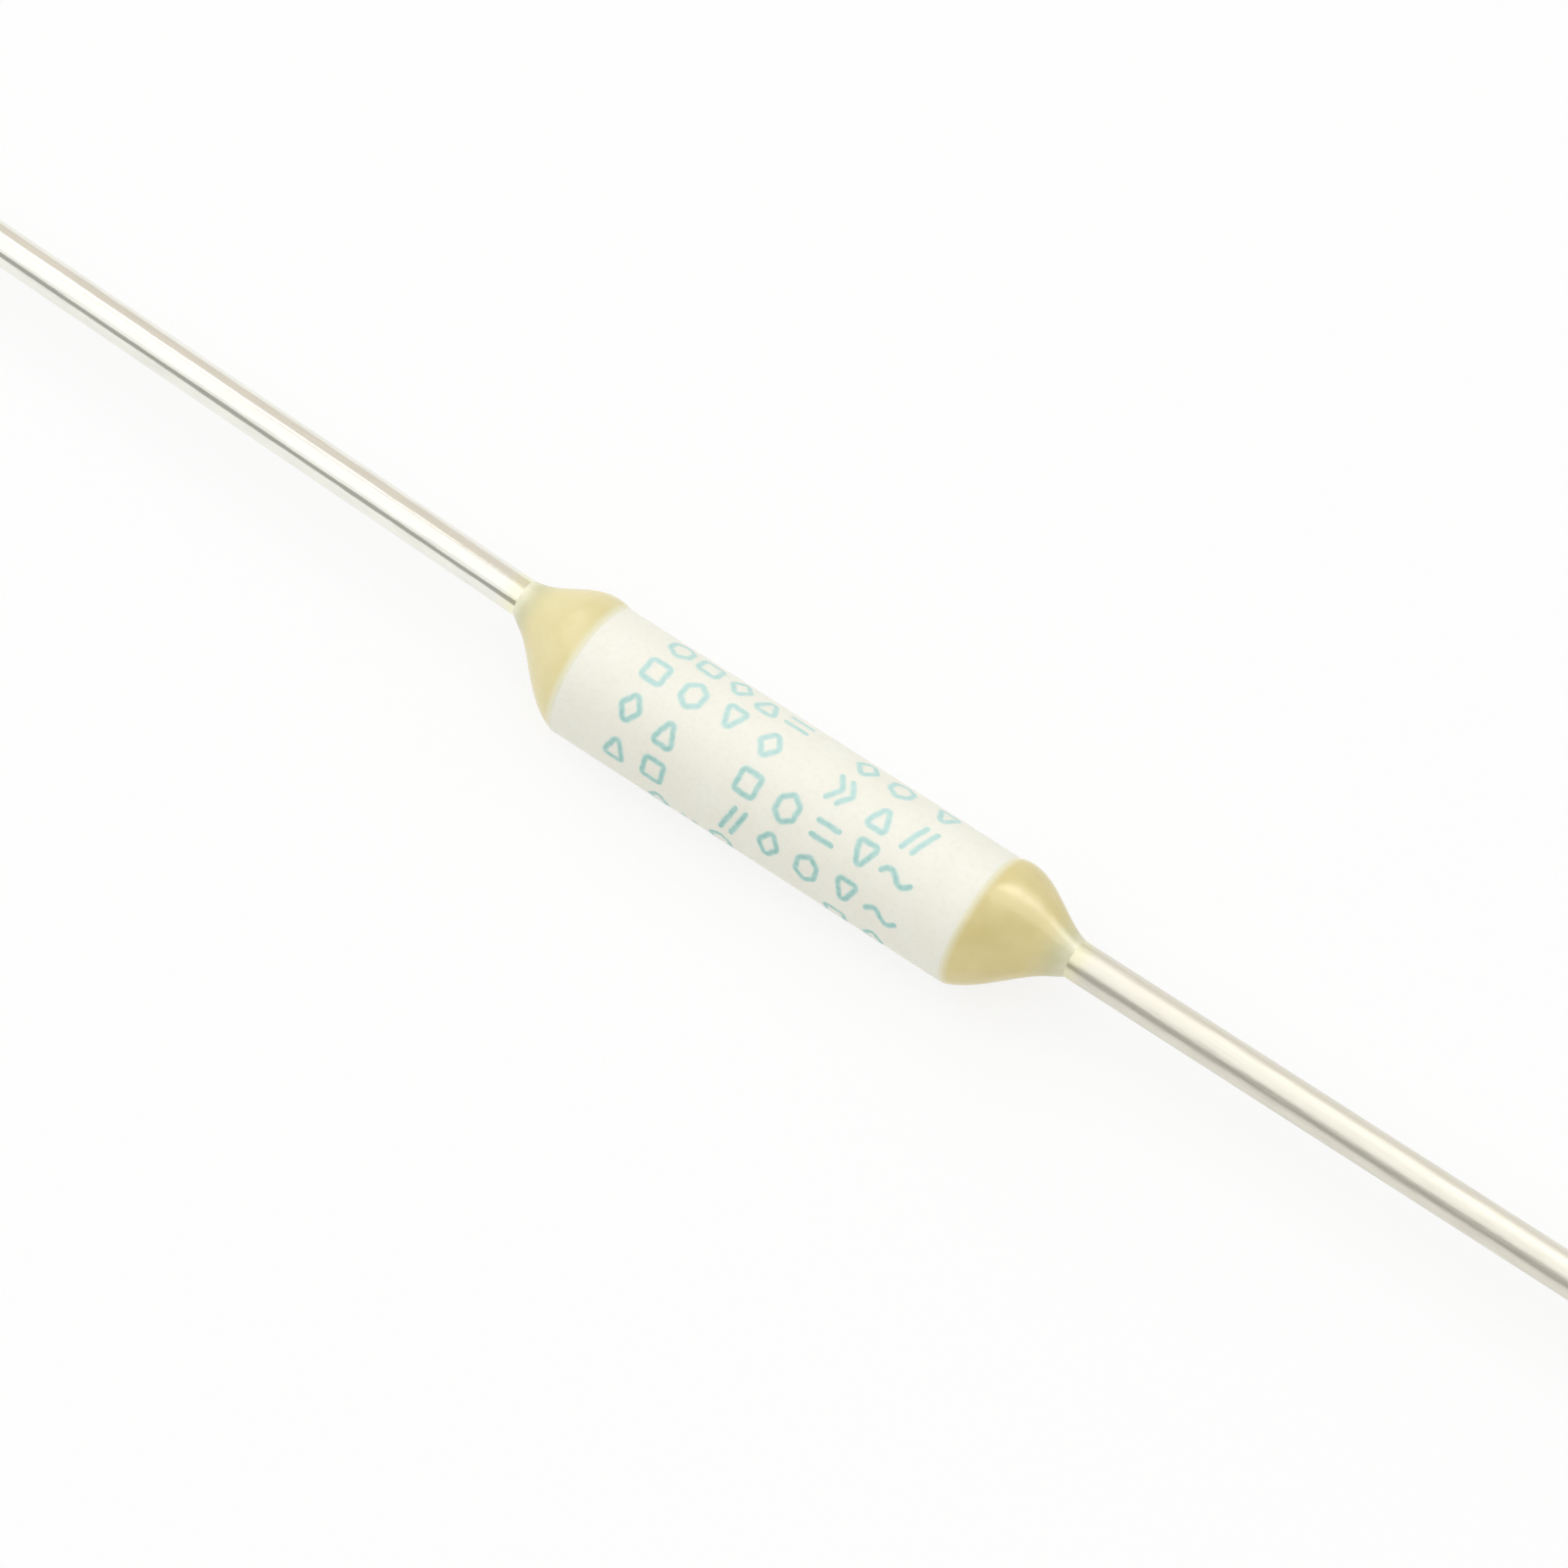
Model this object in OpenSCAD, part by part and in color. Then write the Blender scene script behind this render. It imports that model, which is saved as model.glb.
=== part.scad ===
// Thermal fuse with axial leads.
// A ceramic tube holds a link of fusible alloy between two tinned copper leads.
// An epoxy seal closes each end of the tube and draws out to a thin skirt round its lead.
// The origin is at the middle of the tube, on its axis. +X runs along the tube, and +Z is up.

/* [Case] */
// Outer diameter of the ceramic tube
case_d = 3.5; // [3.3:0.05:5]
// Diameter of the tube's bore
bore_d = 2.4; // [2.4:0.05:2.8]
// Length of the ceramic tube
case_len = 11.5; // [10:0.5:16]

/* [Leads] */
// Diameter of the lead wire
lead_d = 1.0; // [0.8:0.05:1]
// Length of each lead outside its seal
lead_len = 32.5; // [20:0.5:60]
// Angle of the left lead to the tube, opening towards +Y
left_lead_angle = 1.5; // [1.3:0.1:4]
// Angle of the right lead to the tube, opening towards +Y
right_lead_angle = 0; // [0:0.1:4]
// Width of the broken edge on each cut end of the wire
lead_edge = 0.08; // [0.02:0.02:0.2]

/* [Fusible element] */
// Gap between the two lead tips, which the link bridges
tip_gap = 4.0; // [3:0.25:5]
// Diameter of the fusible link
link_d = 0.9; // [0.6:0.05:0.95]
// Diameter of the ball of alloy that holds each lead tip
weld_d = 1.1; // [1.06:0.02:1.12]
// Diameter of the flux coat round the link
flux_d = 1.2; // [1.16:0.02:1.22]
// How far the flux coat runs along each lead from its tip
flux_lap = 0.8; // [0.6:0.1:1.2]
// Distance of the link from the tube's axis, towards +Y
element_offset = 0.55; // [0.3:0.05:0.55]
// Angle at which the link and the buried ends of the leads lie askew in the bore
element_skew = 0.6; // [0.6:0.1:0.8]

/* [Seals] */
// How far the left seal draws out along its lead
left_seal_len = 2.6; // [2:0.1:4]
// How far the right seal draws out along its lead
right_seal_len = 2.5; // [2:0.1:4]
// Fullness of the left seal's shoulder
left_fullness = 1.1; // [0.8:0.05:1.4]
// Fullness of the right seal's shoulder
right_fullness = 1.0; // [0.8:0.05:1.4]
// How soon the left seal leans over to its lead
left_lean = 1.4; // [1:0.1:2]
// How soon the right seal leans over to its lead
right_lean = 1.8; // [1:0.1:2]
// Thickness of the skirt where each seal ends on its lead
skirt = 0.03; // [0.02:0.01:0.1]
// How far each seal fills the bore
plug_len = 1.5; // [1:0.1:2]
// Depth of the dish in the inner face of each plug
dish_depth = 0.3; // [0.1:0.05:0.4]

/* [Hidden] */

$fn = 96;
// sides and rings of a seal's skin, and steps in the turned curves
seal_sides = 48;
seal_rings = 24;
dish_steps = 8;
weld_steps = 8;
fade_steps = 12;

case_half = case_len / 2;
bore_r = bore_d / 2;
lead_r = lead_d / 2;
link_r = link_d / 2;
weld_r = weld_d / 2;
flux_r = flux_d / 2;
tip = tip_gap / 2;
// each lead is straight from its tip to a slight bend, just clear of its seal
bend_clear = 0.1;

// Each end of the fuse is drawn with its lead along +X, and the left end is then mirrored.
// skew is the slope of the element's line on the way out, positive towards +Y.
left_skew = element_skew;
right_skew = -element_skew;

// Puts its children's x axis on the line of the link and the buried wire
module on_element_line(skew) {
    translate([0, element_offset, 0]) rotate([0, 0, skew]) children();
}

// A solid turned about the x axis from an outline of points [x, radius]
module turned(outline) {
    rotate([0, 90, 0]) rotate_extrude() polygon([for (p = outline) [p[1], p[0]]]);
}

// An outline run backwards, and the same at the other end of the x axis
function backwards(points) = [for (k = [len(points) - 1:-1:0]) points[k]];
function other_end(points) = [for (p = backwards(points)) [-p[0], p[1]]];

// ---- case ----

module ceramic_tube() {
    color("ivory") rotate([0, 90, 0]) difference() {
        cylinder(h = case_len, d = case_d, center = true);
        cylinder(h = case_len + 2, d = bore_d, center = true);
    }
}

// ---- leads ----

// The buried wire and the free wire meet in a mitre at the bend
module lead(skew, angle, seal_len) {
    bend_at = (case_half + seal_len + bend_clear) / cos(skew);
    bend = angle - skew;
    reach = 4 * lead_d;
    on_element_line(skew) {
        difference() {
            turned([[tip, 0], [tip, lead_r], [bend_at + lead_d, lead_r], [bend_at + lead_d, 0]]);
            translate([bend_at, 0, 0]) rotate([0, 0, bend / 2])
                translate([0, -reach / 2, -reach / 2]) cube(reach);
        }
        translate([bend_at, 0, 0]) rotate([0, 0, bend]) difference() {
            turned([[-lead_d, 0], [-lead_d, lead_r], [lead_len - lead_edge, lead_r],
                    [lead_len, lead_r - lead_edge], [lead_len, 0]]);
            rotate([0, 0, -bend / 2])
                translate([-reach, -reach / 2, -reach / 2]) cube(reach);
        }
    }
}

module lead_left() {
    color("gainsboro") mirror([1, 0, 0]) lead(left_skew, left_lead_angle, left_seal_len);
}

module lead_right() {
    color("silver") lead(right_skew, right_lead_angle, right_seal_len);
}

// ---- seals ----

// Radius of a seal's skin at t, which runs from 0 at the tube's end to 1 at the skirt's edge
function skin_r(t, fullness) =
    let (edge_r = lead_r + skirt)
    edge_r + (case_d / 2 - edge_r) * (1 + cos(180 * pow(t, fullness))) / 2;

// Distance of the skin's centre from the tube's axis at t, which is x along the tube
function skin_y(t, x, skew, lean) = (element_offset + x * tan(skew)) * (1 - pow(1 - t, lean));

// The outside of a seal: round sections that shrink and lean from the tube's rim to the lead
module skin(skew, length, fullness, lean) {
    points = [for (k = [0:seal_rings])
        let (t = k / seal_rings, x = case_half + length * t,
             r = skin_r(t, fullness), y = skin_y(t, x, skew, lean))
        for (i = [0:seal_sides - 1])
            let (a = 360 * i / seal_sides)
            [x, y + r * cos(a), r * sin(a)]];
    walls = [for (k = [0:seal_rings - 1], i = [0:seal_sides - 1])
        let (j = (i + 1) % seal_sides, a = k * seal_sides, b = a + seal_sides)
        each [[a + i, b + j, a + j], [a + i, b + i, b + j]]];
    near = [for (i = [0:seal_sides - 1]) i];
    far = [for (i = [seal_sides - 1:-1:0]) seal_rings * seal_sides + i];
    polyhedron(points, concat(walls, [near, far]));
}

// The plug in the bore, whose inner face is dished where the epoxy crept up the wall
module plug() {
    dish = [for (k = [0:dish_steps])
        let (t = k / dish_steps)
        [case_half - plug_len + dish_depth * cos(90 * t), bore_r * t]];
    turned(concat(dish, [[case_half, bore_r], [case_half, 0]]));
}

module seal(skew, length, fullness, lean) {
    difference() {
        union() {
            skin(skew, length, fullness, lean);
            plug();
        }
        on_element_line(skew) turned([[tip, 0], [tip, lead_r],
            [case_half + length + 1, lead_r], [case_half + length + 1, 0]]);
    }
}

module seal_left() {
    color("palegoldenrod") mirror([1, 0, 0])
        seal(left_skew, left_seal_len, left_fullness, left_lean);
}

module seal_right() {
    color("khaki") seal(right_skew, right_seal_len, right_fullness, right_lean);
}

// ---- fusible element ----

// Outline of the alloy at a lead's tip, from the link out to the lead: an arc of the weld's ball
weld = let (on_link = 180 - asin(link_r / weld_r), on_lead = asin(lead_r / weld_r))
    [for (k = [0:weld_steps])
        let (a = on_link + (on_lead - on_link) * k / weld_steps)
        [tip + weld_r * cos(a), weld_r * sin(a)]];

// The whole outside of the alloy, from the left lead to the right one
alloy = concat(other_end(weld), weld);

module fusible_link() {
    color("slategray") on_element_line(right_skew)
        turned(concat([[-tip, 0], [-tip, lead_r]], alloy, [[tip, lead_r], [tip, 0]]));
}

// The drop of flux keeps its thickness over the link and thins out along each lead
flux_end = tip + flux_lap;
fade = let (edge_r = lead_r + skirt / 2)
    [for (k = [0:fade_steps])
        let (t = k / fade_steps)
        [tip + flux_lap * t, edge_r + (flux_r - edge_r) * (1 + cos(180 * t)) / 2]];

module flux_coat() {
    color("darkgoldenrod") on_element_line(right_skew)
        turned(concat(other_end(fade), fade, [[flux_end, lead_r]], backwards(alloy),
                      [[-flux_end, lead_r]]));
}

ceramic_tube();
seal_left();
seal_right();
lead_left();
lead_right();
fusible_link();
flux_coat();
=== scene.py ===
"""The looks of an axial thermal fuse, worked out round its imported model.

Lengths are written in millimetres and become metres where a mesh is made. The case lies along
the x axis, the leads lean over towards +Y, and +Z is up.
"""

import bpy
import numpy as np
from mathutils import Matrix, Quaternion, Vector


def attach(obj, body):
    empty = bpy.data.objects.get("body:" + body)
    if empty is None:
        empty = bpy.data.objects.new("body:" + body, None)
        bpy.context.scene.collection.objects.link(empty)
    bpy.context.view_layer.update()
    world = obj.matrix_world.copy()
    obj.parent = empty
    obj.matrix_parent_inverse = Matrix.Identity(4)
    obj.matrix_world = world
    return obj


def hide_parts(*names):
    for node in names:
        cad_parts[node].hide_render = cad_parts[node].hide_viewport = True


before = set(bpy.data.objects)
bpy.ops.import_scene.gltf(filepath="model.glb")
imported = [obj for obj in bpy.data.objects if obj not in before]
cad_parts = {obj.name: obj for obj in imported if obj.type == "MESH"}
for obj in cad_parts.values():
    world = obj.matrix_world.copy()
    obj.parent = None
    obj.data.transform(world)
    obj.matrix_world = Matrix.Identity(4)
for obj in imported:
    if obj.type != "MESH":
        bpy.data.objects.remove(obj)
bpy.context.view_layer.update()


# ---- camera ----
# It looks down on the fuse from in front and from the right, close enough for the leads to run
# out of the picture on both sides.
MM = 0.001
PICTURE = 1600
CAMERA_AZIMUTH, CAMERA_ELEVATION = np.radians((35.65, 63.5))
CAMERA_DISTANCE = 170
CAMERA_LENS = 162.95
# where the middle of the fuse comes in the picture, from the picture's middle
MIDDLE_RIGHT, MIDDLE_DOWN = 1.0, 10.5

camera_back = Vector((
    np.sin(CAMERA_AZIMUTH) * np.cos(CAMERA_ELEVATION),
    -np.cos(CAMERA_AZIMUTH) * np.cos(CAMERA_ELEVATION),
    np.sin(CAMERA_ELEVATION),
))
camera_data = bpy.data.cameras.new("camera")
camera_data.sensor_width = 36
camera_data.lens = CAMERA_LENS
camera_data.shift_x = -MIDDLE_RIGHT / PICTURE
camera_data.shift_y = MIDDLE_DOWN / PICTURE
camera_data.clip_start = 0.01
camera_data.clip_end = 20
camera = bpy.data.objects.new("camera", camera_data)
camera.location = camera_back * CAMERA_DISTANCE * MM
camera.rotation_euler = camera_back.to_track_quat("Z", "Y").to_euler()
bpy.context.scene.collection.objects.link(camera)
bpy.context.scene.camera = camera


# ---- ceramic tube ----
# The case is a length of fired ceramic tube, pressed, cut and tumbled, so that its edges are
# slightly round. Its skin is smooth and half matt, with faint clouds and a few dark specks.
CASE_HALF = 5.75
CASE_R = 1.75
BORE_R = 1.2
EDGE_R = 0.05
TUBE_SIDES = 192
OUTSIDE_STEPS, BORE_STEPS = 64, 24
CERAMIC_WHITE = (0.912, 0.902, 0.806, 1)
CERAMIC_CREAM = (0.882, 0.870, 0.750, 1)
CERAMIC_SPECK = (0.62, 0.58, 0.50, 1)
CERAMIC_ROUGHNESS = (0.42, 0.52)
SPECK_STRENGTH = 0.07
CERAMIC_RELIEF = 0.0012


def rings(x, y, r, sides):
    """Circles across the case, one for each station of a profile. Point j of ring i stands at
    (x_i, y_i + r_i cos a_j, r_i sin a_j), with the angles a_j shared out round the circle."""
    a = np.arange(sides) * (2 * np.pi / sides)
    x, y, r = np.broadcast_arrays(x, y, r)
    x, y, r = x[:, None], y[:, None], r[:, None]
    return np.stack(np.broadcast_arrays(x, y + r * np.cos(a), r * np.sin(a)), axis=-1)


def piece_of_rings(name, grids, looped, sharp=0.6):
    """A mesh over grids of points (ring, side, xyz). Each ring joins the next one in quads. A
    looped grid joins its last ring to its first, and any other grid closes each end with a fan
    of triangles round the middle of its end ring. Edges that turn by more than sharp, in
    radians, are shaded as edges."""
    points, faces, first = [], [], 0
    for grid, loop in zip(grids, looped):
        n_rings, sides = grid.shape[:2]
        number = first + np.arange(n_rings * sides).reshape(n_rings, sides)
        here = number if loop else number[:-1]
        after = np.roll(number, -1, axis=0) if loop else number[1:]
        quads = [here, np.roll(here, -1, axis=1), np.roll(after, -1, axis=1), after]
        faces += np.stack(quads, axis=-1).reshape(-1, 4).tolist()
        points.append(grid.reshape(-1, 3))
        first += n_rings * sides
        if not loop:
            near, far = np.full(sides, first), np.full(sides, first + 1)
            faces += np.stack([near, np.roll(number[0], -1), number[0]], axis=-1).tolist()
            faces += np.stack([far, number[-1], np.roll(number[-1], -1)], axis=-1).tolist()
            points.append(np.stack([grid[0].mean(axis=0), grid[-1].mean(axis=0)]))
            first += 2
    mesh = bpy.data.meshes.new(name)
    mesh.from_pydata((np.concatenate(points) * MM).tolist(), [], faces)
    mesh.polygons.foreach_set("use_smooth", np.ones(len(mesh.polygons), bool))
    mesh.set_sharp_from_angle(angle=sharp)
    mesh.update()
    piece = bpy.data.objects.new(name, mesh)
    bpy.context.scene.collection.objects.link(piece)
    return piece


def round_corner(x, r, start, stop, steps=6):
    """Stations (x, radius) along a quarter round of the radius EDGE_R: its middle (x, r) +
    EDGE_R (cos, sin) of an angle that runs from start to stop in degrees."""
    a = np.radians(np.linspace(start, stop, steps))
    return np.stack([x + EDGE_R * np.cos(a), r + EDGE_R * np.sin(a)], axis=-1)


def tube_profile():
    """The tube's section from the left end to the right along the outside and back through the
    bore, as stations (x, radius), with a round on each of its four edges."""
    e = EDGE_R
    outside_x = np.linspace(e - CASE_HALF, CASE_HALF - e, OUTSIDE_STEPS)[1:-1]
    inside_x = np.linspace(CASE_HALF - e, e - CASE_HALF, BORE_STEPS)[1:-1]
    return np.vstack([
        round_corner(e - CASE_HALF, CASE_R - e, 180, 90),
        np.stack([outside_x, np.full_like(outside_x, CASE_R)], axis=-1),
        round_corner(CASE_HALF - e, CASE_R - e, 90, 0),
        round_corner(CASE_HALF - e, BORE_R + e, 0, -90),
        np.stack([inside_x, np.full_like(inside_x, BORE_R)], axis=-1),
        round_corner(e - CASE_HALF, BORE_R + e, -90, -180),
    ])


def node_group(name, inputs, outputs):
    """An empty shader node group with its sockets. Returns the group's tree, the node that
    gives its inputs and the node that takes its outputs."""
    tree = bpy.data.node_groups.new(name, "ShaderNodeTree")
    for label, kind, value in inputs:
        socket = tree.interface.new_socket(label, in_out="INPUT", socket_type=kind)
        socket.default_value = value
    for label, kind in outputs:
        tree.interface.new_socket(label, in_out="OUTPUT", socket_type=kind)
    return tree, tree.nodes.new("NodeGroupInput"), tree.nodes.new("NodeGroupOutput")


def joined(tree, kind, links=(), **settings):
    """A new node in a tree. Settings are its properties or, by number, its sockets' values,
    and each link is (socket number or name of the new node, output that feeds it)."""
    node = tree.nodes.new(kind)
    for key, value in settings.items():
        if key.startswith("in_"):
            label = key[3:]
            node.inputs[int(label) if label.isdigit() else label].default_value = value
        else:
            setattr(node, key, value)
    for socket, source in links:
        tree.links.new(source, node.inputs[socket])
    return node


# Clouds: a soft noise whose lumps are Size millimetres across, drawn out Stretch times along
# the case, and set to run from 0 to 1 with Contrast.
clouds, clouds_in, clouds_out = node_group(
    "clouds",
    [("Size", "NodeSocketFloat", 1.0), ("Stretch", "NodeSocketFloat", 1.0),
     ("Detail", "NodeSocketFloat", 3.0), ("Contrast", "NodeSocketFloat", 2.0)],
    [("Mask", "NodeSocketFloat")])
place = joined(clouds, "ShaderNodeTexCoord")
along = joined(clouds, "ShaderNodeMath", [(1, clouds_in.outputs["Stretch"])],
               operation="DIVIDE", in_0=1.0)
stretched = joined(clouds, "ShaderNodeCombineXYZ", [(0, along.outputs[0])], in_1=1.0, in_2=1.0)
squeezed = joined(clouds, "ShaderNodeVectorMath",
                  [(0, place.outputs["Object"]), (1, stretched.outputs[0])],
                  operation="MULTIPLY")
per_metre = joined(clouds, "ShaderNodeMath", [(1, clouds_in.outputs["Size"])],
                   operation="DIVIDE", in_0=1 / MM)
noise = joined(clouds, "ShaderNodeTexNoise",
               [("Vector", squeezed.outputs[0]), ("Scale", per_metre.outputs[0]),
                ("Detail", clouds_in.outputs["Detail"])], in_Roughness=0.55)
centred = joined(clouds, "ShaderNodeMath", [(0, noise.outputs["Fac"])],
                 operation="SUBTRACT", in_1=0.5)
spread = joined(clouds, "ShaderNodeMath",
                [(0, centred.outputs[0]), (1, clouds_in.outputs["Contrast"])],
                operation="MULTIPLY")
lifted = joined(clouds, "ShaderNodeMath", [(0, spread.outputs[0])],
                operation="ADD", in_1=0.5, use_clamp=True)
clouds.links.new(lifted.outputs[0], clouds_out.inputs["Mask"])


def bare_tree(owner):
    """The emptied node tree of a material or a world."""
    owner.use_nodes = True
    owner.node_tree.nodes.clear()
    return owner.node_tree


def finish_of(name):
    """A new material and its shader. Returns the material, its tree and its Principled node."""
    material = bpy.data.materials.new(name)
    tree = bare_tree(material)
    shader = tree.nodes.new("ShaderNodeBsdfPrincipled")
    joined(tree, "ShaderNodeOutputMaterial", [("Surface", shader.outputs[0])])
    return material, tree, shader


def cloud_mask(tree, size, stretch=1.0, detail=3.0, contrast=2.0):
    """The clouds' mask in a material, at one size."""
    node = joined(tree, "ShaderNodeGroup", node_tree=clouds)
    values = {"Size": size, "Stretch": stretch, "Detail": detail, "Contrast": contrast}
    for label, value in values.items():
        node.inputs[label].default_value = value
    return node.outputs["Mask"]


def between(tree, mask, low, high):
    """Low where the mask is 0 and high where it is 1, for two numbers or two colours. Either
    colour may be written out or come from another node's output."""
    if isinstance(low, float):
        return joined(tree, "ShaderNodeMapRange", [(0, mask)], in_3=low, in_4=high).outputs[0]
    mix = joined(tree, "ShaderNodeMix", [(0, mask)], data_type="RGBA")
    for socket, colour in ((6, low), (7, high)):
        if isinstance(colour, tuple):
            mix.inputs[socket].default_value = colour
        else:
            tree.links.new(colour, mix.inputs[socket])
    return mix.outputs[2]


def worked(tree, operation, first, second):
    """The result of one sum on an output and either a number or another output."""
    links, settings = [(0, first)], {}
    if isinstance(second, float):
        settings["in_1"] = second
    else:
        links.append((1, second))
    return joined(tree, "ShaderNodeMath", links, operation=operation, **settings).outputs[0]


def bumped(tree, shader, height, distance):
    """Feeds the shader's normal with a relief of this height map, distance in millimetres."""
    bump = joined(tree, "ShaderNodeBump", [("Height", height)], in_Distance=distance * MM)
    tree.links.new(bump.outputs[0], shader.inputs["Normal"])


ceramic, tree, shader = finish_of("fired_ceramic")
ground = between(tree, cloud_mask(tree, 0.9), CERAMIC_CREAM, CERAMIC_WHITE)
# a speck stands where one sharp noise is high and a finer one is low
fine = between(tree, cloud_mask(tree, 0.085, detail=1.0, contrast=9.0), 0.0, 1.0)
specks = joined(tree, "ShaderNodeMath",
                [(0, cloud_mask(tree, 0.16, detail=0.0, contrast=7.0)), (1, fine)],
                operation="SUBTRACT", use_clamp=True).outputs[0]
colour = between(tree, worked(tree, "MULTIPLY", specks, SPECK_STRENGTH), ground, CERAMIC_SPECK)
rough = between(tree, cloud_mask(tree, 0.12), *CERAMIC_ROUGHNESS)
tree.links.new(colour, shader.inputs["Base Color"])
tree.links.new(rough, shader.inputs["Roughness"])
bumped(tree, shader, cloud_mask(tree, 0.06, detail=2.0), CERAMIC_RELIEF)
shader.inputs["Subsurface Weight"].default_value = 0.15
shader.inputs["Subsurface Radius"].default_value = (1.0, 0.9, 0.7)
shader.inputs["Subsurface Scale"].default_value = 0.15 * MM

x, r = tube_profile().T
tube = piece_of_rings("tube_skin", [rings(x, 0.0, r, TUBE_SIDES)], [True])
tube.data.materials.append(ceramic)
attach(tube, "root")
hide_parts("ceramic_tube")


# ---- printed marks ----
# Five rows of plain shapes are rolled on to the front and top of the case in pale blue-green
# ink. Each line is a thin film of ink, a little uneven in colour and ragged along its edges,
# where it thins out. The rows towards the back of the top are painted paler, a painted highlight.
LINE_WIDE = 0.17
INK_HIGH = 0.004
INK_DEEP = 0.004    # how far the film's underside stands in the ceramic
INK_LIP = 0.3       # the ink's thickness at a line's edge, as a share of INK_HIGH
LIP_COVER = 0.1     # how much of the ink's own colour is left there
INK_SLOPE = 0.30    # the share of the line's width in which the ink thins out on each side
MARK_WIDE = 0.54
MARK_TALL = 0.74
CORNER_R = 0.095
CORNER_STEPS = 9
LINE_STEP = 0.024
END_STEPS = 6
# the edges' raggedness: the length of each wave along the line, and how far it stands out
RAGGED = ((0.9, 0.004), (0.37, 0.004), (0.21, 0.003))
# how far on its waves the next line starts, and a line's second edge after its first
LINE_SHIFT, EDGE_SHIFT = 1.7, 2.3
INK_TEAL = (0.305, 0.580, 0.530, 1)
INK_THIN = (0.450, 0.685, 0.625, 1)
# painted highlight: the ink's colour where it is painted palest, towards the back of the case
INK_PAINTED_SHEEN = (0.660, 0.840, 0.810, 1)
INK_EDGE = (0.740, 0.850, 0.770, 1)
INK_ROUGHNESS = (0.42, 0.58)
INK_RELIEF = 0.001
# the ink is painted paler from the first of these places to the second, across the case from
# front to back, as a painted highlight, and the last ones are this much paler
SHEEN_FROM, SHEEN_TO, SHEEN_MOST = -0.95 * CASE_R, 0.15 * CASE_R, 0.48

# the shapes, as lines in a box one wide and one tall; a line that ends where it starts is a ring
SHAPES = {
    "square": [[(0, .12), (1, .12), (1, .88), (0, .88), (0, .12)]],
    "peak": [[(-.03, 0), (1.03, 0), (.5, 1), (-.03, 0)]],
    "funnel": [[(-.03, 1), (.5, 0), (1.03, 1), (-.03, 1)]],
    "kite": [[(.5, -.03), (1, .5), (.5, 1.03), (0, .5), (.5, -.03)]],
    "nut": [[(.5, 0), (1, .26), (1, .74), (.5, 1), (0, .74), (0, .26), (.5, 0)]],
    "rails": [[(0, .24), (1, .24)], [(0, .76), (1, .76)]],
    "rain": [[(.02, 0), (.42, 1)], [(.58, 0), (.98, 1)]],
    "arrows": [[(0, .04), (.42, .5), (0, .96)], [(.58, .04), (1, .5), (.58, .96)]],
    "dots": [[(.2, .5), (.21, .5)], [(.8, .5), (.81, .5)]],
    "wave": [[(1.5 * t - .25, .5 + .17 * np.sin(2 * np.pi * t)) for t in np.linspace(0, 1, 21)]],
}
# each row: its angle from the top of the case towards the front, then (shape, x) along it
ROWS = [
    (-42.0, [("nut", -3.85), ("square", -3.0), ("kite", -2.1), ("peak", -1.25), ("rails", -.4),
             ("kite", 1.6), ("nut", 2.6), ("funnel", 3.85)]),
    (-5.5, [("square", -3.9), ("nut", -2.8), ("funnel", -1.7), ("kite", -.55),
            ("arrows", 1.6), ("peak", 2.75), ("rain", 3.8)]),
    (30.4, [("kite", -3.9), ("peak", -2.8), ("square", -.45), ("nut", .7), ("rails", 1.8),
            ("funnel", 2.87), ("wave", 3.85)]),
    (66.2, [("peak", -3.85), ("square", -2.75), ("rain", -.4), ("kite", .65), ("nut", 1.75),
            ("funnel", 2.85), ("wave", 3.9)]),
    (102.0, [("kite", -2.5), ("dots", -1.6), ("nut", -.65), ("square", 2.7), ("kite", 3.8)]),
]


def rounded(points, ring):
    """The line with an arc in place of each corner. The arc leaves the side before the corner
    CORNER_R times the tangent of half the turn early, and its point at angle t stands CORNER_R
    sin t along that side and CORNER_R (1 - cos t) across it, towards the turn."""
    sides = np.diff(points, axis=0)
    sides /= np.hypot(*sides.T)[:, None]
    turns = len(sides) if ring else len(sides) - 1
    before, after = sides[:turns], np.roll(sides, -1, axis=0)[:turns]
    cross = before[:, 0] * after[:, 1] - before[:, 1] * after[:, 0]
    turn = np.abs(np.arctan2(cross, (before * after).sum(axis=1)))
    across = np.stack([-before[:, 1], before[:, 0]], axis=-1) * np.sign(cross)[:, None]
    first = points[1:turns + 1] - before * CORNER_R * np.tan(turn / 2)[:, None]
    t = turn[:, None, None] * np.linspace(0, 1, CORNER_STEPS)[:, None]
    arcs = first[:, None] + CORNER_R * (before[:, None] * np.sin(t)
                                        + across[:, None] * (1 - np.cos(t)))
    arcs = arcs.reshape(-1, 2)
    return np.vstack([arcs, arcs[:1]] if ring else [points[:1], arcs, points[-1:]])


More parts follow.
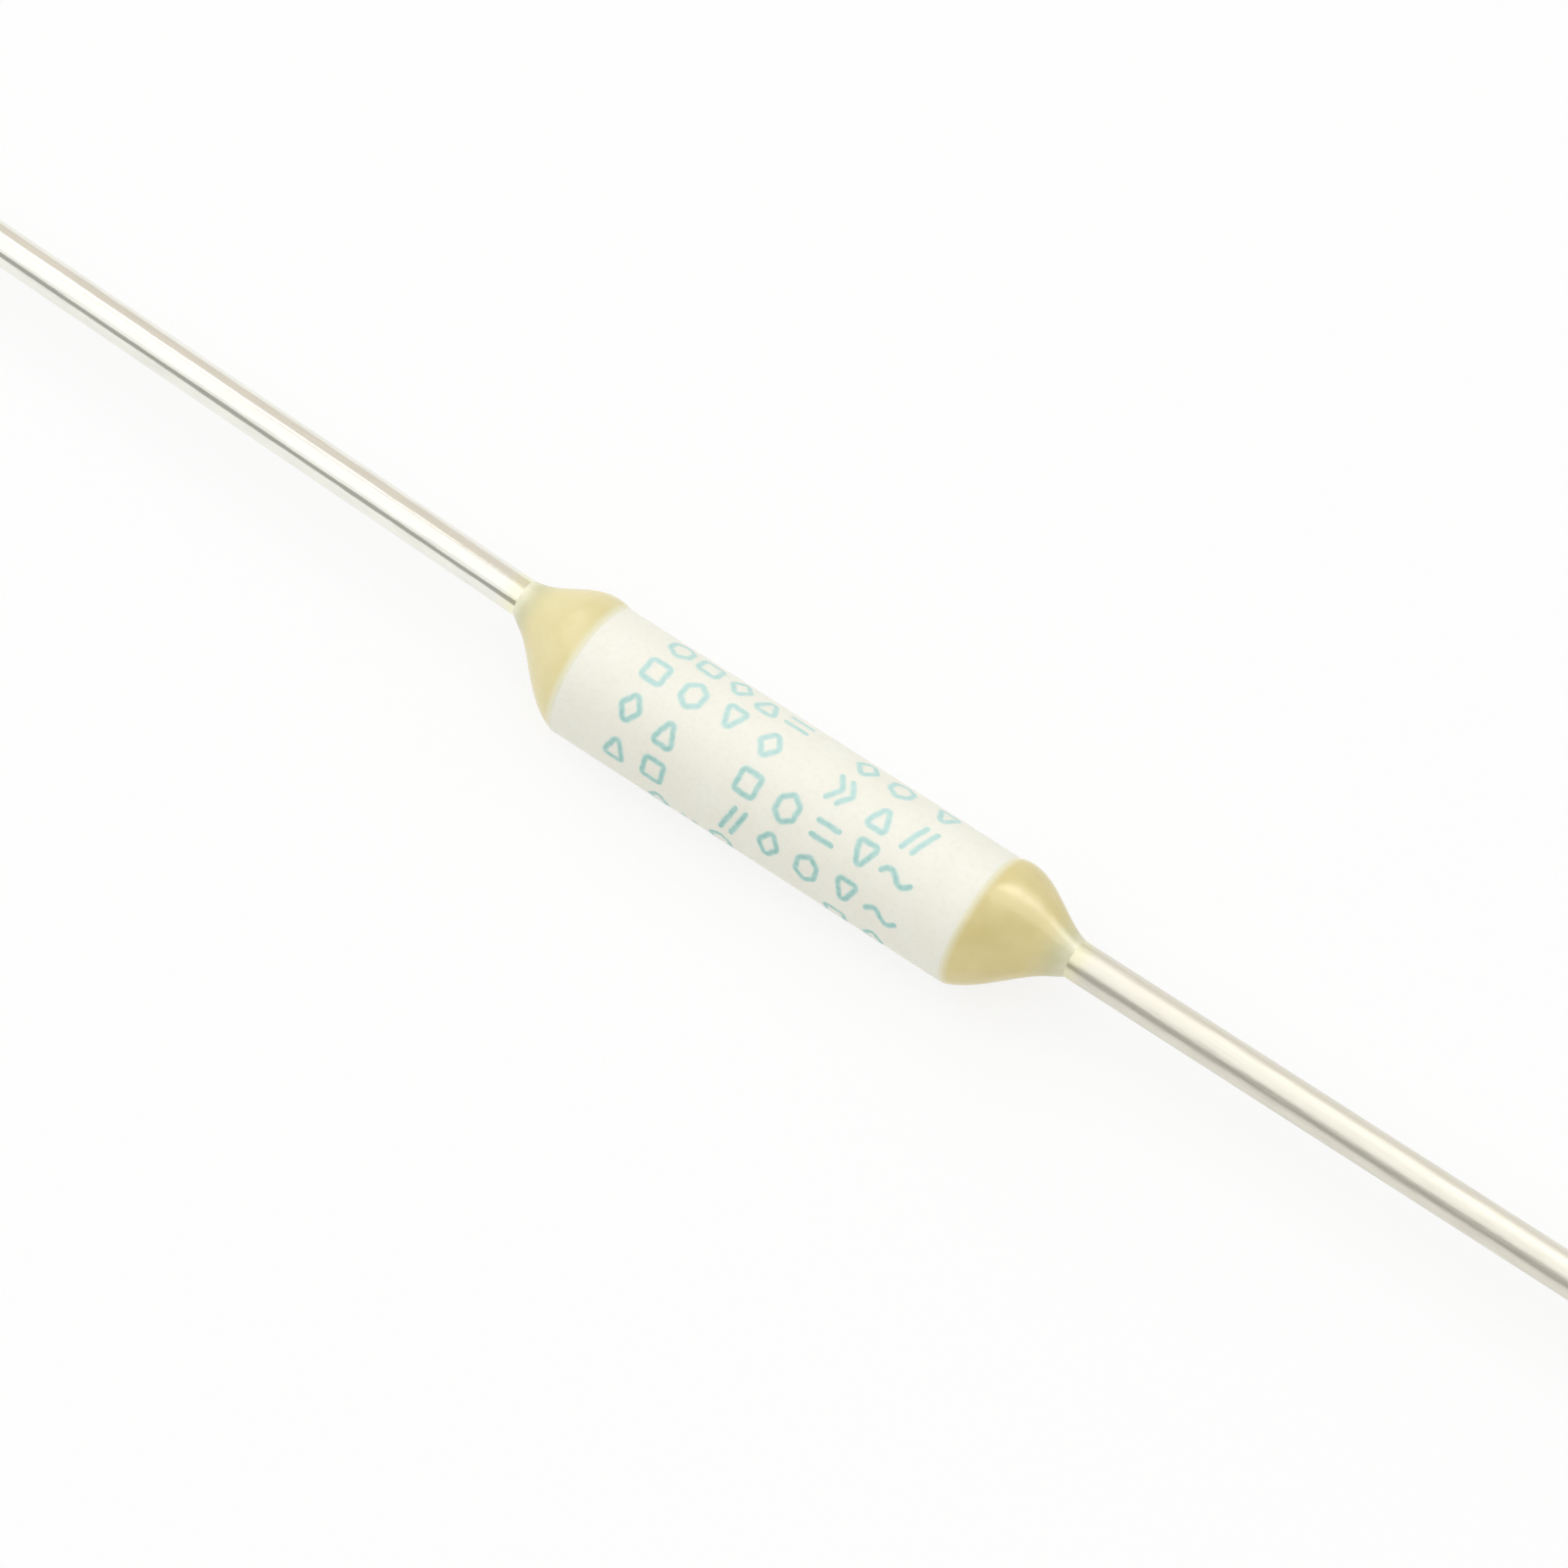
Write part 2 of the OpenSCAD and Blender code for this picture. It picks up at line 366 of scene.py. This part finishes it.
def ink_line(points, shift):
    """A film of ink along a line on the flattened case. The line is cut into short steps, and
    its two edges stand half a line's width off it, square to it, with a slow ragged wobble that
    the shift moves along. An open line narrows to a half circle at each end. Returns the grid
    (step, corner of the section, (x, arc, height)) and whether the line is a ring."""
    points = np.asarray(points, float)
    ring = bool(np.allclose(points[0], points[-1]))
    path = rounded(points, ring)
    at = np.concatenate([[0], np.cumsum(np.hypot(*np.diff(path, axis=0).T))])
    length = at[-1]
    spots = np.linspace(0, length, max(2, int(round(length / LINE_STEP))) + 1)
    if ring:
        spots = spots[:-1]
    centre = np.stack([np.interp(spots, at, path[:, k]) for k in (0, 1)], axis=-1)
    if ring:
        way = np.roll(centre, -1, axis=0) - np.roll(centre, 1, axis=0)
    else:
        way = np.gradient(centre, axis=0)
    way /= np.hypot(*way.T)[:, None]
    across = np.stack([-way[:, 1], way[:, 0]], axis=-1)
    around = 2 * np.pi * spots / length
    wobble = [sum(size * np.sin(max(1, round(length / wave)) * around + shift * (k + 1) + start)
                  for k, (wave, size) in enumerate(RAGGED))
              for start in (0.0, EDGE_SHIFT)]
    half = LINE_WIDE / 2
    left = centre + across * (half + wobble[0])[:, None]
    right = centre - across * (half + wobble[1])[:, None]
    if not ring:
        turn = np.linspace(0, np.pi / 2, END_STEPS)[1:]
        step, wide = half * (1 - np.cos(turn)), half * np.sin(turn)
        head = centre[0] + way[0] * (step - half)[:, None]
        tail = centre[-1] - way[-1] * (step - half)[::-1, None]
        left = np.vstack([head + across[0] * wide[:, None], left[1:-1],
                          tail + across[-1] * wide[::-1, None]])
        right = np.vstack([head - across[0] * wide[:, None], right[1:-1],
                           tail - across[-1] * wide[::-1, None]])
    inset = INK_SLOPE * (left - right)
    lip = INK_LIP * INK_HIGH
    section = [(right, -INK_DEEP), (right, lip), (right + inset, INK_HIGH),
               (left - inset, INK_HIGH), (left, lip), (left, -INK_DEEP)]
    corners = [np.column_stack([place, np.full(len(place), height)]) for place, height in section]
    return np.stack(corners, axis=1), ring


def mark_points(piece, name, formula):
    """Gives each point of a piece a value under this name: the formula of its place (x, y, z)
    in millimetres."""
    place = np.empty(3 * len(piece.data.vertices), np.float32)
    piece.data.vertices.foreach_get("co", place)
    values = formula(*place.reshape(-1, 3).T / MM)
    piece.data.attributes.new(name, "FLOAT", "POINT").data.foreach_set("value", values)


def marked(tree, name):
    """The value that the points of a piece carry under this name."""
    return joined(tree, "ShaderNodeAttribute", attribute_name=name).outputs["Fac"]


def eased(tree, value, start, stop, low=0.0, high=1.0):
    """Low up to start and high from stop on, with a smooth step between them."""
    return joined(tree, "ShaderNodeMapRange", [(0, value)], interpolation_type="SMOOTHSTEP",
                  in_1=start, in_2=stop, in_3=low, in_4=high).outputs[0]


def on_case(grid):
    """Rolls a flat grid (x, arc, height) on to the case: the arc runs from the top towards the
    front, at radius R + height."""
    angle = grid[..., 1] / CASE_R
    r = CASE_R + grid[..., 2]
    return np.stack([grid[..., 0], -r * np.sin(angle), r * np.cos(angle)], axis=-1)


ink, tree, shader = finish_of("printing_ink")
patchy = cloud_mask(tree, 0.16, detail=2.0, contrast=3.0)
place = joined(tree, "ShaderNodeTexCoord")
back = joined(tree, "ShaderNodeSeparateXYZ", [(0, place.outputs["Object"])]).outputs["Y"]
# painted highlight: the ink's colour is made paler towards the back of the case
painted_sheen = eased(tree, back, SHEEN_FROM * MM, SHEEN_TO * MM, high=SHEEN_MOST)
colour = between(tree, painted_sheen, between(tree, patchy, INK_TEAL, INK_THIN), INK_PAINTED_SHEEN)
covered = joined(tree, "ShaderNodeMapRange", [(0, marked(tree, "thickness"))],
                 in_1=INK_LIP, in_3=LIP_COVER, in_4=1.0).outputs[0]
colour = between(tree, covered, INK_EDGE, colour)
rough = between(tree, cloud_mask(tree, 0.05), *INK_ROUGHNESS)
tree.links.new(colour, shader.inputs["Base Color"])
tree.links.new(rough, shader.inputs["Roughness"])
bumped(tree, shader, cloud_mask(tree, 0.05, detail=2.0), INK_RELIEF)

lines, closed = [], []
for row_angle, row in ROWS:
    for shape, x in row:
        for line in SHAPES[shape]:
            box = np.asarray(line, float) - 0.5
            flat = np.column_stack([x + box[:, 0] * MARK_WIDE,
                                    CASE_R * np.radians(row_angle) - box[:, 1] * MARK_TALL])
            film, ring = ink_line(flat, LINE_SHIFT * len(lines))
            lines.append(on_case(film))
            closed.append(ring)
print_marks = piece_of_rings("printed_marks", lines, closed, sharp=1.2)
# how thick the ink is, as a share of its full thickness
mark_points(print_marks, "thickness", lambda x, y, z: (np.hypot(y, z) - CASE_R) / INK_HIGH)
print_marks.data.materials.append(ink)
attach(print_marks, "root")


# ---- epoxy seals ----
# Each end of the tube is closed with a drop of filled epoxy. It plugs the bore, wets the rim
# of the tube, and draws out into a smooth cone that leans over to the lead and grips it.
WIRE_R = 0.5
ELEMENT_OFFSET = 0.55
ELEMENT_SLOPE = np.tan(np.radians(0.6))
PLUG_LENGTH = 1.5
DISH = 0.3
FILM_BACK = 0.09
FILM_THICK = 0.0012
FILM_RUN = 1 / 6    # the share of the seal's length in which its film at the rim runs out
GRIP = 0.003        # how far the epoxy bites into the wire's plating
REACH = 0.95        # the share of the seal's length at which its skin ends on the wire
FEATHER = 0.13      # the share of the length before that in which the skin thins down
SEAL_SIDES = 128
SKIN_STEPS, BURIED_STEPS, DISH_STEPS, PLUG_STEPS = 81, 20, 14, 12
# For each end of the case: the seal's length, the fullness of its shoulder, the hollow of its
# neck, how soon it leans over, the share of the lead's offset that the neck reaches, the skirt's
# thickness on the wire, and the slope of the buried wire outwards.
SEALS = {
    -1: {"length": 2.6, "fullness": 1.08, "hollow": 1.0, "lean": 1.4, "share": 0.97,
         "skirt": 0.030, "slope": ELEMENT_SLOPE},
    1: {"length": 2.5, "fullness": 0.97, "hollow": 0.86, "lean": 2.05, "share": 0.93,
        "skirt": 0.020, "slope": -ELEMENT_SLOPE},
}


def seal_grid(side):
    """A seal as a closed loop of circles. Its skin falls from the rim of the tube to the skirt
    as a power of the half cosine of t^fullness, and its centre leans over by a share of
    1 - (1 - t)^lean of the lead's offset. Up to its end at REACH it feathers down to the wire
    and comes on to the wire's axis. The loop goes back along the wire, out over the dished
    plug, forward along the bore and out over the end of the tube, to the film round the rim."""
    seal = SEALS[side]
    film_x = CASE_HALF - FILM_BACK
    plug_end = CASE_HALF - PLUG_LENGTH
    grip_r = WIRE_R - GRIP

    def wire_y(x):
        return ELEMENT_OFFSET + x * seal["slope"]

    rim_x = film_x + np.array([0, 0.03, 0.06])
    rim_r = CASE_R + FILM_THICK * np.array([-1, 0, 0.7])
    t = np.linspace(0, REACH, SKIN_STEPS)
    last = np.clip((t - REACH + FEATHER) / FEATHER, 0, 1) ** 2
    skirt_r = WIRE_R + seal["skirt"]
    skin_x = CASE_HALF + seal["length"] * t
    fall = ((1 + np.cos(np.pi * t ** seal["fullness"])) / 2) ** seal["hollow"]
    skin_r = skirt_r + (CASE_R - skirt_r) * fall + FILM_THICK * np.clip(1 - t / FILM_RUN, 0, 1)
    skin_r = skin_r - (skin_r[-1] - WIRE_R - FILM_THICK) * last
    leaning = seal["share"] * (1 - (1 - t) ** seal["lean"])
    leaning = leaning + (1 - leaning[-1]) * last
    wire_x = np.linspace(skin_x[-1], plug_end + DISH, BURIED_STEPS)
    out = np.linspace(0, 1, DISH_STEPS)[1:-1]
    plug_x = np.linspace(plug_end, CASE_HALF, PLUG_STEPS)
    stations = [
        (rim_x, np.zeros(len(rim_x)), rim_r),
        (skin_x, wire_y(skin_x) * leaning, skin_r),
        (wire_x, wire_y(wire_x), np.full_like(wire_x, grip_r)),
        (np.full_like(out, plug_end), wire_y(plug_end) * (1 - out),
         grip_r + (BORE_R - grip_r) * out),
        (plug_x, np.zeros(len(plug_x)), np.full_like(plug_x, BORE_R)),
        ([CASE_HALF, film_x], [0, 0], [CASE_R - EDGE_R, CASE_R - EDGE_R]),
    ]
    x, y, r = (np.concatenate([station[k] for station in stations]) for k in range(3))
    grid = rings(x, y, r, SEAL_SIDES)
    # the plug's inner face is dished: x follows the distance from the case's axis
    first = len(rim_x) + len(t) + len(wire_x)
    face = grid[first - 1:first + len(out) + 1]
    from_axis = np.hypot(face[..., 1], face[..., 2]) / BORE_R
    face[..., 0] = plug_end + DISH * np.cos(np.pi / 2 * np.clip(from_axis, 0, 1))
    grid[..., 0] *= side
    return grid[::side]


# painted light and shade: the left lead's tin has a lighter colour and the right one's a darker,
# though both leads are the same plated wire
TIN_BRIGHT_LIT = (0.900, 0.890, 0.820, 1)
TIN_SATIN_SHADED = (0.765, 0.740, 0.645, 1)
FILM_TINT = (1, 0.995, 0.82, 1)
EPOXY_CREAM = (0.860, 0.840, 0.650, 1)
EPOXY_THIN = (0.625, 0.615, 0.400, 1)
EPOXY_RELIEF = 0.012
# the range keeps below 0.27, because the denoiser leaves sharp patches where a map crosses it
EPOXY_ROUGHNESS = (0.20, 0.265)
# where along its seal the epoxy changes, as shares of the seal's length
RIM_FILM, SKIRT_THINS, SKIRT_PAINTED_TIN = (-0.03, 0.08), (0.60, 0.98), (0.82, 1.00)
PAINTED_TIN_MOST = 0.9
RAGGED_DRAW = 0.04


def through_film(tone):
    """The colour of plated wire seen through a thin clear film of epoxy."""
    return tuple(part * tint for part, tint in zip(tone, FILM_TINT))


def ragged_draw(tree):
    """How far along its seal a point stands, made ragged by small clouds."""
    return joined(tree, "ShaderNodeMath", [(0, cloud_mask(tree, 0.25)), (2, marked(tree, "draw"))],
                  operation="MULTIPLY_ADD", in_1=RAGGED_DRAW).outputs[0]


def epoxy_finish(name, body, deep, tone):
    """Cast epoxy: a cloudy body colour under a wet gloss. It is creamy in the thin film at the
    tube's rim. Down the neck it thins to olive, and then clears over the wire, where the tin's
    colour is painted into the epoxy as a painted reflection of the wire under it."""
    material, tree, shader = finish_of(name)
    along = ragged_draw(tree)
    colour = between(tree, cloud_mask(tree, 0.9, detail=2.0), deep, body)
    colour = between(tree, eased(tree, marked(tree, "draw"), *RIM_FILM), EPOXY_CREAM, colour)
    colour = between(tree, eased(tree, along, *SKIRT_THINS), colour, EPOXY_THIN)
    # painted reflection: the tin's colour is painted into the skirt's base colour where the epoxy
    # clears
    colour = between(tree, eased(tree, along, *SKIRT_PAINTED_TIN, high=PAINTED_TIN_MOST), colour,
                     through_film(tone))
    tree.links.new(colour, shader.inputs["Base Color"])
    rough = between(tree, cloud_mask(tree, 0.35), *EPOXY_ROUGHNESS)
    tree.links.new(rough, shader.inputs["Roughness"])
    bumped(tree, shader, cloud_mask(tree, 0.8, detail=2.0), EPOXY_RELIEF)
    shader.inputs["IOR"].default_value = 1.52
    return material


def mark_draw(piece, side):
    """Gives each point how far along the seal it stands: its distance beyond the tube's end,
    as a share of the seal's length."""
    mark_points(piece, "draw",
                lambda x, y, z: (np.abs(x) - CASE_HALF) / SEALS[side]["length"])


# painted light and shade: the left seal's epoxy is paler and the right one's darker, though both
# are the same epoxy
epoxy = {
    -1: epoxy_finish("cast_epoxy_painted_lit", (0.800, 0.715, 0.385, 1), (0.755, 0.665, 0.325, 1),
                     TIN_BRIGHT_LIT),
    1: epoxy_finish("cast_epoxy_painted_shade", (0.770, 0.660, 0.310, 1), (0.700, 0.590, 0.255, 1),
                    TIN_SATIN_SHADED),
}

for side, word in ((-1, "left"), (1, "right")):
    cone = piece_of_rings("seal_skin_" + word, [seal_grid(side)], [True])
    mark_draw(cone, side)
    cone.data.materials.append(epoxy[side])
    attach(cone, "root")
    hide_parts("seal_" + word)


# ---- leads ----
# Each lead is drawn copper wire with a plating of tin. It runs askew in the seal, makes a
# slight bend just outside it, and ends in a cut whose edge is broken.
TIP = 2.0
BEND_CLEAR = 0.1
LEAD_LENGTH = 32.5
LEAD_EDGE = 0.08
LEAD_ANGLE = {-1: np.radians(1.5), 1: 0.0}
BEND_RING = 0.02    # how close the rings on each side stand to the bend
BEND_RUN = 1.0      # the length past the bend in which the rings stand close
WIRE_SIDES = 72
BURIED_RINGS, NEAR_RINGS, FREE_RINGS, EDGE_RINGS = 48, 16, 150, 6
TIN_DULL = 0.86     # how bright the dullest tin is, as a share of the brightest
# where the clear epoxy on the wire thins away, as shares of the seal's length
WET_ENDS = (0.98, 1.22)


def wire_grid(side):
    """A wire as circles carried along two straight runs that meet at the bend. The circle at
    the bend lies in the bisecting plane, so it is longer by 1 / cos(half the bend) across.
    Point j of ring i is centre_i + r_i (cos a_j across_i + sin a_j up)."""
    skew = np.arctan(SEALS[side]["slope"])
    bend_at = (CASE_HALF + SEALS[side]["length"] + BEND_CLEAR) / np.cos(skew)
    e = LEAD_EDGE
    buried = np.linspace(TIP + BEND_RING, bend_at - BEND_RING, BURIED_RINGS)
    buried = np.concatenate([[TIP], buried])
    turn = np.linspace(0, np.pi / 2, EDGE_RINGS + 1)[1:]
    free = np.concatenate([np.linspace(BEND_RING, 0.9 * BEND_RUN, NEAR_RINGS),
                           np.linspace(BEND_RUN, LEAD_LENGTH - e, FREE_RINGS),
                           LEAD_LENGTH - e + e * np.sin(turn)])
    free_r = np.where(free > LEAD_LENGTH - e,
                      WIRE_R - e + np.sqrt(np.clip(e**2 - (free - LEAD_LENGTH + e)**2, 0, None)),
                      WIRE_R)
    angles = np.array([skew, LEAD_ANGLE[side]])
    runs = np.stack([np.cos(angles), np.sin(angles)], axis=-1)
    start = np.array([0.0, ELEMENT_OFFSET])
    bend = start + bend_at * runs[0]
    centre = np.vstack([start + buried[:, None] * runs[0], bend, bend + free[:, None] * runs[1]])
    slant = np.concatenate([np.full(len(buried), angles[0]), [angles.mean()],
                            np.full(len(free), angles[1])])
    widen = np.ones(len(slant))
    widen[len(buried)] = 1 / np.cos((angles[1] - angles[0]) / 2)
    r = np.concatenate([np.full(len(buried) + 1, WIRE_R), free_r])
    a = np.arange(WIRE_SIDES) * (2 * np.pi / WIRE_SIDES)
    across = (r * widen)[:, None] * np.cos(a)
    grid = np.stack([centre[:, :1] - np.sin(slant)[:, None] * across,
                     centre[:, 1:] + np.cos(slant)[:, None] * across,
                     r[:, None] * np.sin(a)], axis=-1)
    grid[..., 0] *= side
    return grid[::side]


def tin_finish(name, tone, shine, haze, relief):
    """Plated wire: tin in long drawn streaks, duller in small patches where the plating has
    set grainy, with a relief of fine lumps drawn out along the wire. Just out of the seal the
    tin shows yellow through a clear film of epoxy, which thins away to bare metal."""
    material, tree, shader = finish_of(name)
    patches = cloud_mask(tree, 0.35, stretch=3.0, detail=3.0, contrast=2.5)
    streaks = cloud_mask(tree, 0.10, stretch=25.0, detail=2.0, contrast=2.0)
    dull = tuple(TIN_DULL * part for part in tone[:3]) + (1,)
    wet = eased(tree, ragged_draw(tree), *WET_ENDS, low=1.0, high=0.0)
    bare = between(tree, worked(tree, "MULTIPLY", patches, streaks), tone, dull)
    colour = between(tree, wet, bare, through_film(tone))
    rough = joined(tree, "ShaderNodeMix", [(0, wet), (2, between(tree, patches, shine, haze))],
                   in_3=shine).outputs[0]
    tree.links.new(colour, shader.inputs["Base Color"])
    tree.links.new(rough, shader.inputs["Roughness"])
    shader.inputs["Metallic"].default_value = 1.0
    lumps = cloud_mask(tree, 0.22, stretch=3.0, detail=4.0)
    bumped(tree, shader, worked(tree, "ADD", lumps, streaks), relief)
    return material


# for each: the tin's colour, the roughness of its brightest and haziest places, and its relief
# the two tones differ as painted light and shade; the roughness and relief are each lead's own
tin = {-1: tin_finish("bright_tin", TIN_BRIGHT_LIT, 0.10, 0.17, 0.0012),
       1: tin_finish("satin_tin_painted_shade", TIN_SATIN_SHADED, 0.29, 0.38, 0.0030)}

for side, word in ((-1, "left"), (1, "right")):
    wire = piece_of_rings("lead_wire_" + word, [wire_grid(side)], [False])
    mark_draw(wire, side)
    wire.data.materials.append(tin[side])
    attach(wire, "root")
    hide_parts("lead_" + word)


# ---- fusible element ----
# Out of sight in the bore, a cast link of grey fusible alloy joins the tips of the leads, under
# a drop of amber flux that has set hard round it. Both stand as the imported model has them.
ALLOY_GREY = (0.60, 0.60, 0.61, 1)
ALLOY_DARK = (0.42, 0.42, 0.44, 1)
FLUX_AMBER = (0.66, 0.40, 0.11, 1)
FLUX_BROWN = (0.42, 0.22, 0.06, 1)
ALLOY_ROUGHNESS = (0.48, 0.30)
FLUX_ROUGHNESS = (0.12, 0.28)
ALLOY_RELIEF, FLUX_RELIEF = 0.004, 0.010

alloy, tree, shader = finish_of("fusible_alloy")
crystals = cloud_mask(tree, 0.14, detail=4.0, contrast=3.0)
tree.links.new(between(tree, crystals, ALLOY_DARK, ALLOY_GREY), shader.inputs["Base Color"])
tree.links.new(between(tree, crystals, *ALLOY_ROUGHNESS), shader.inputs["Roughness"])
bumped(tree, shader, crystals, ALLOY_RELIEF)
shader.inputs["Metallic"].default_value = 1.0

rosin, tree, shader = finish_of("hard_flux")
depth = cloud_mask(tree, 0.5, detail=2.0, contrast=2.5)
tree.links.new(between(tree, depth, FLUX_BROWN, FLUX_AMBER), shader.inputs["Base Color"])
rough = between(tree, cloud_mask(tree, 0.2), *FLUX_ROUGHNESS)
tree.links.new(rough, shader.inputs["Roughness"])
bumped(tree, shader, depth, FLUX_RELIEF)
shader.inputs["Coat Weight"].default_value = 0.4

for node, finish in (("fusible_link", alloy), ("flux_coat", rosin)):
    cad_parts[node].data.materials.clear()
    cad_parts[node].data.materials.append(finish)


# ---- table, lamps and room ----
# The fuse lies on a plain white table in a white room, under two wide soft lamps, with a
# smaller one from the left. Two cards beside the table and two windows behind show only in gloss.
TABLE_DOWN = CASE_R + INK_HIGH
TABLE_WIDE = 3000
TABLE_WHITE = (0.93, 0.93, 0.92, 1)
TABLE_GLOW = 0.80
ROOM_LIGHT = 0.60
LIGHT_WHITE = (1, 1, 1, 1)
CARD_STEPS = 40


def seen_rays(tree, strength):
    """Strength for a ray from the camera, a mirror or clear stuff, and 0 for any other."""
    rays = joined(tree, "ShaderNodeLightPath").outputs
    seen = worked(tree, "MAXIMUM", rays["Is Camera Ray"], rays["Is Glossy Ray"])
    seen = worked(tree, "MAXIMUM", seen, rays["Is Transmission Ray"])
    return worked(tree, "MULTIPLY", seen, strength)


def staged(name, points, faces, material):
    """A flat or bent sheet that belongs to the room and not to the fuse. Points in metres."""
    mesh = bpy.data.meshes.new(name)
    mesh.from_pydata(points, [], faces)
    mesh.materials.append(material)
    sheet = bpy.data.objects.new(name, mesh)
    bpy.context.scene.collection.objects.link(sheet)
    return sheet


def plain_glow(name, colour):
    """A material that only shines, with this colour."""
    material = bpy.data.materials.new(name)
    tree = bare_tree(material)
    shine = joined(tree, "ShaderNodeEmission", in_Color=colour, in_Strength=1.0)
    joined(tree, "ShaderNodeOutputMaterial", [("Surface", shine.outputs[0])])
    return material


table_white = bpy.data.materials.new("table_white")
tree = bare_tree(table_white)
matt = joined(tree, "ShaderNodeBsdfDiffuse", in_Color=TABLE_WHITE)
lit = joined(tree, "ShaderNodeEmission", in_Color=LIGHT_WHITE, in_Strength=1.0)
mixed = joined(tree, "ShaderNodeMixShader",
               [(0, seen_rays(tree, TABLE_GLOW)), (1, matt.outputs[0]), (2, lit.outputs[0])])
joined(tree, "ShaderNodeOutputMaterial", [("Surface", mixed.outputs[0])])
half = TABLE_WIDE / 2
staged("table", [(x * MM, y * MM, -TABLE_DOWN * MM) for x, y in
                 ((-half, -half), (half, -half), (half, half), (-half, half))],
       [(0, 1, 2, 3)], table_white)

world = bpy.data.worlds.new("room")
bpy.context.scene.world = world
tree = bare_tree(world)
air = joined(tree, "ShaderNodeBackground", in_Color=LIGHT_WHITE, in_Strength=ROOM_LIGHT)
view = joined(tree, "ShaderNodeBackground", in_Color=LIGHT_WHITE, in_Strength=1.0)
mixed = joined(tree, "ShaderNodeMixShader",
               [(0, seen_rays(tree, 1.0)), (1, air.outputs[0]), (2, view.outputs[0])])
joined(tree, "ShaderNodeOutputWorld", [("Surface", mixed.outputs[0])])


def card(name, edge, colour):
    """A card bent round the table one metre off, which shows only in gloss. Its foot stands on
    the table, and its upper edge runs through points (azimuth from the front towards the right,
    elevation)."""
    azimuths, heights = np.array(edge, float).T
    a = np.linspace(azimuths[0], azimuths[-1], CARD_STEPS)
    e = np.radians(np.stack([np.zeros(CARD_STEPS), np.interp(a, azimuths, heights)]))
    a = np.radians(a)
    points = np.stack([np.sin(a) * np.cos(e), -np.cos(a) * np.cos(e), np.sin(e)], axis=-1)
    faces = [(k, k + 1, k + 1 + CARD_STEPS, k + CARD_STEPS) for k in range(CARD_STEPS - 1)]
    sheet = staged(name, points.reshape(-1, 3).tolist(), faces, plain_glow(name, colour))
    sheet.visible_camera = False
    sheet.visible_diffuse = False
    sheet.visible_shadow = False


card("dark_card", [(-50, 22), (-22, 24), (-9, 42), (60, 42)], (0.43, 0.43, 0.41, 1))
card("tan_card", [(185, 22), (191, 24), (204, 58), (212, 63), (260, 64)], (0.80, 0.75, 0.69, 1))


def soft_lamp(name, place, size, power, shape="RECTANGLE", roll=0.0):
    """A lamp of this size in metres, at this place, turned to face the fuse and then rolled
    round the line to it by some degrees."""
    lamp = bpy.data.lights.new(name, "AREA")
    lamp.shape = shape
    lamp.size, lamp.size_y = size
    lamp.energy = power
    fitting = bpy.data.objects.new(name, lamp)
    fitting.location = place
    turn = Vector(place).to_track_quat("Z", "Y") @ Quaternion((0, 0, 1), np.radians(roll))
    fitting.rotation_euler = turn.to_euler()
    bpy.context.scene.collection.objects.link(fitting)
    return fitting


soft_lamp("top_lamp", (0.0, 0.0, 1.0), (2.0, 2.0), 2.6)
soft_lamp("left_lamp", (-0.53, 0.17, 0.45), (0.60, 0.60), 1.28)
fill_lamp = soft_lamp("fill_lamp", (0.0, 0.0, 1.02), (2.0, 2.0), 3.9)
fill_lamp.visible_glossy = False
# two round-ended windows behind on the right, one in the other, that show only in gloss
for name, place, size, power in (
        ("window", (0.455, 0.620, 0.640), (0.28, 0.85), 2.3),
        ("wide_window", (0.530, 0.530, 0.660), (1.00, 1.25), 6.8)):
    window = soft_lamp(name, place, size, power, shape="ELLIPSE", roll=-30)
    window.visible_diffuse = False

bpy.context.scene.view_settings.view_transform = "Standard"
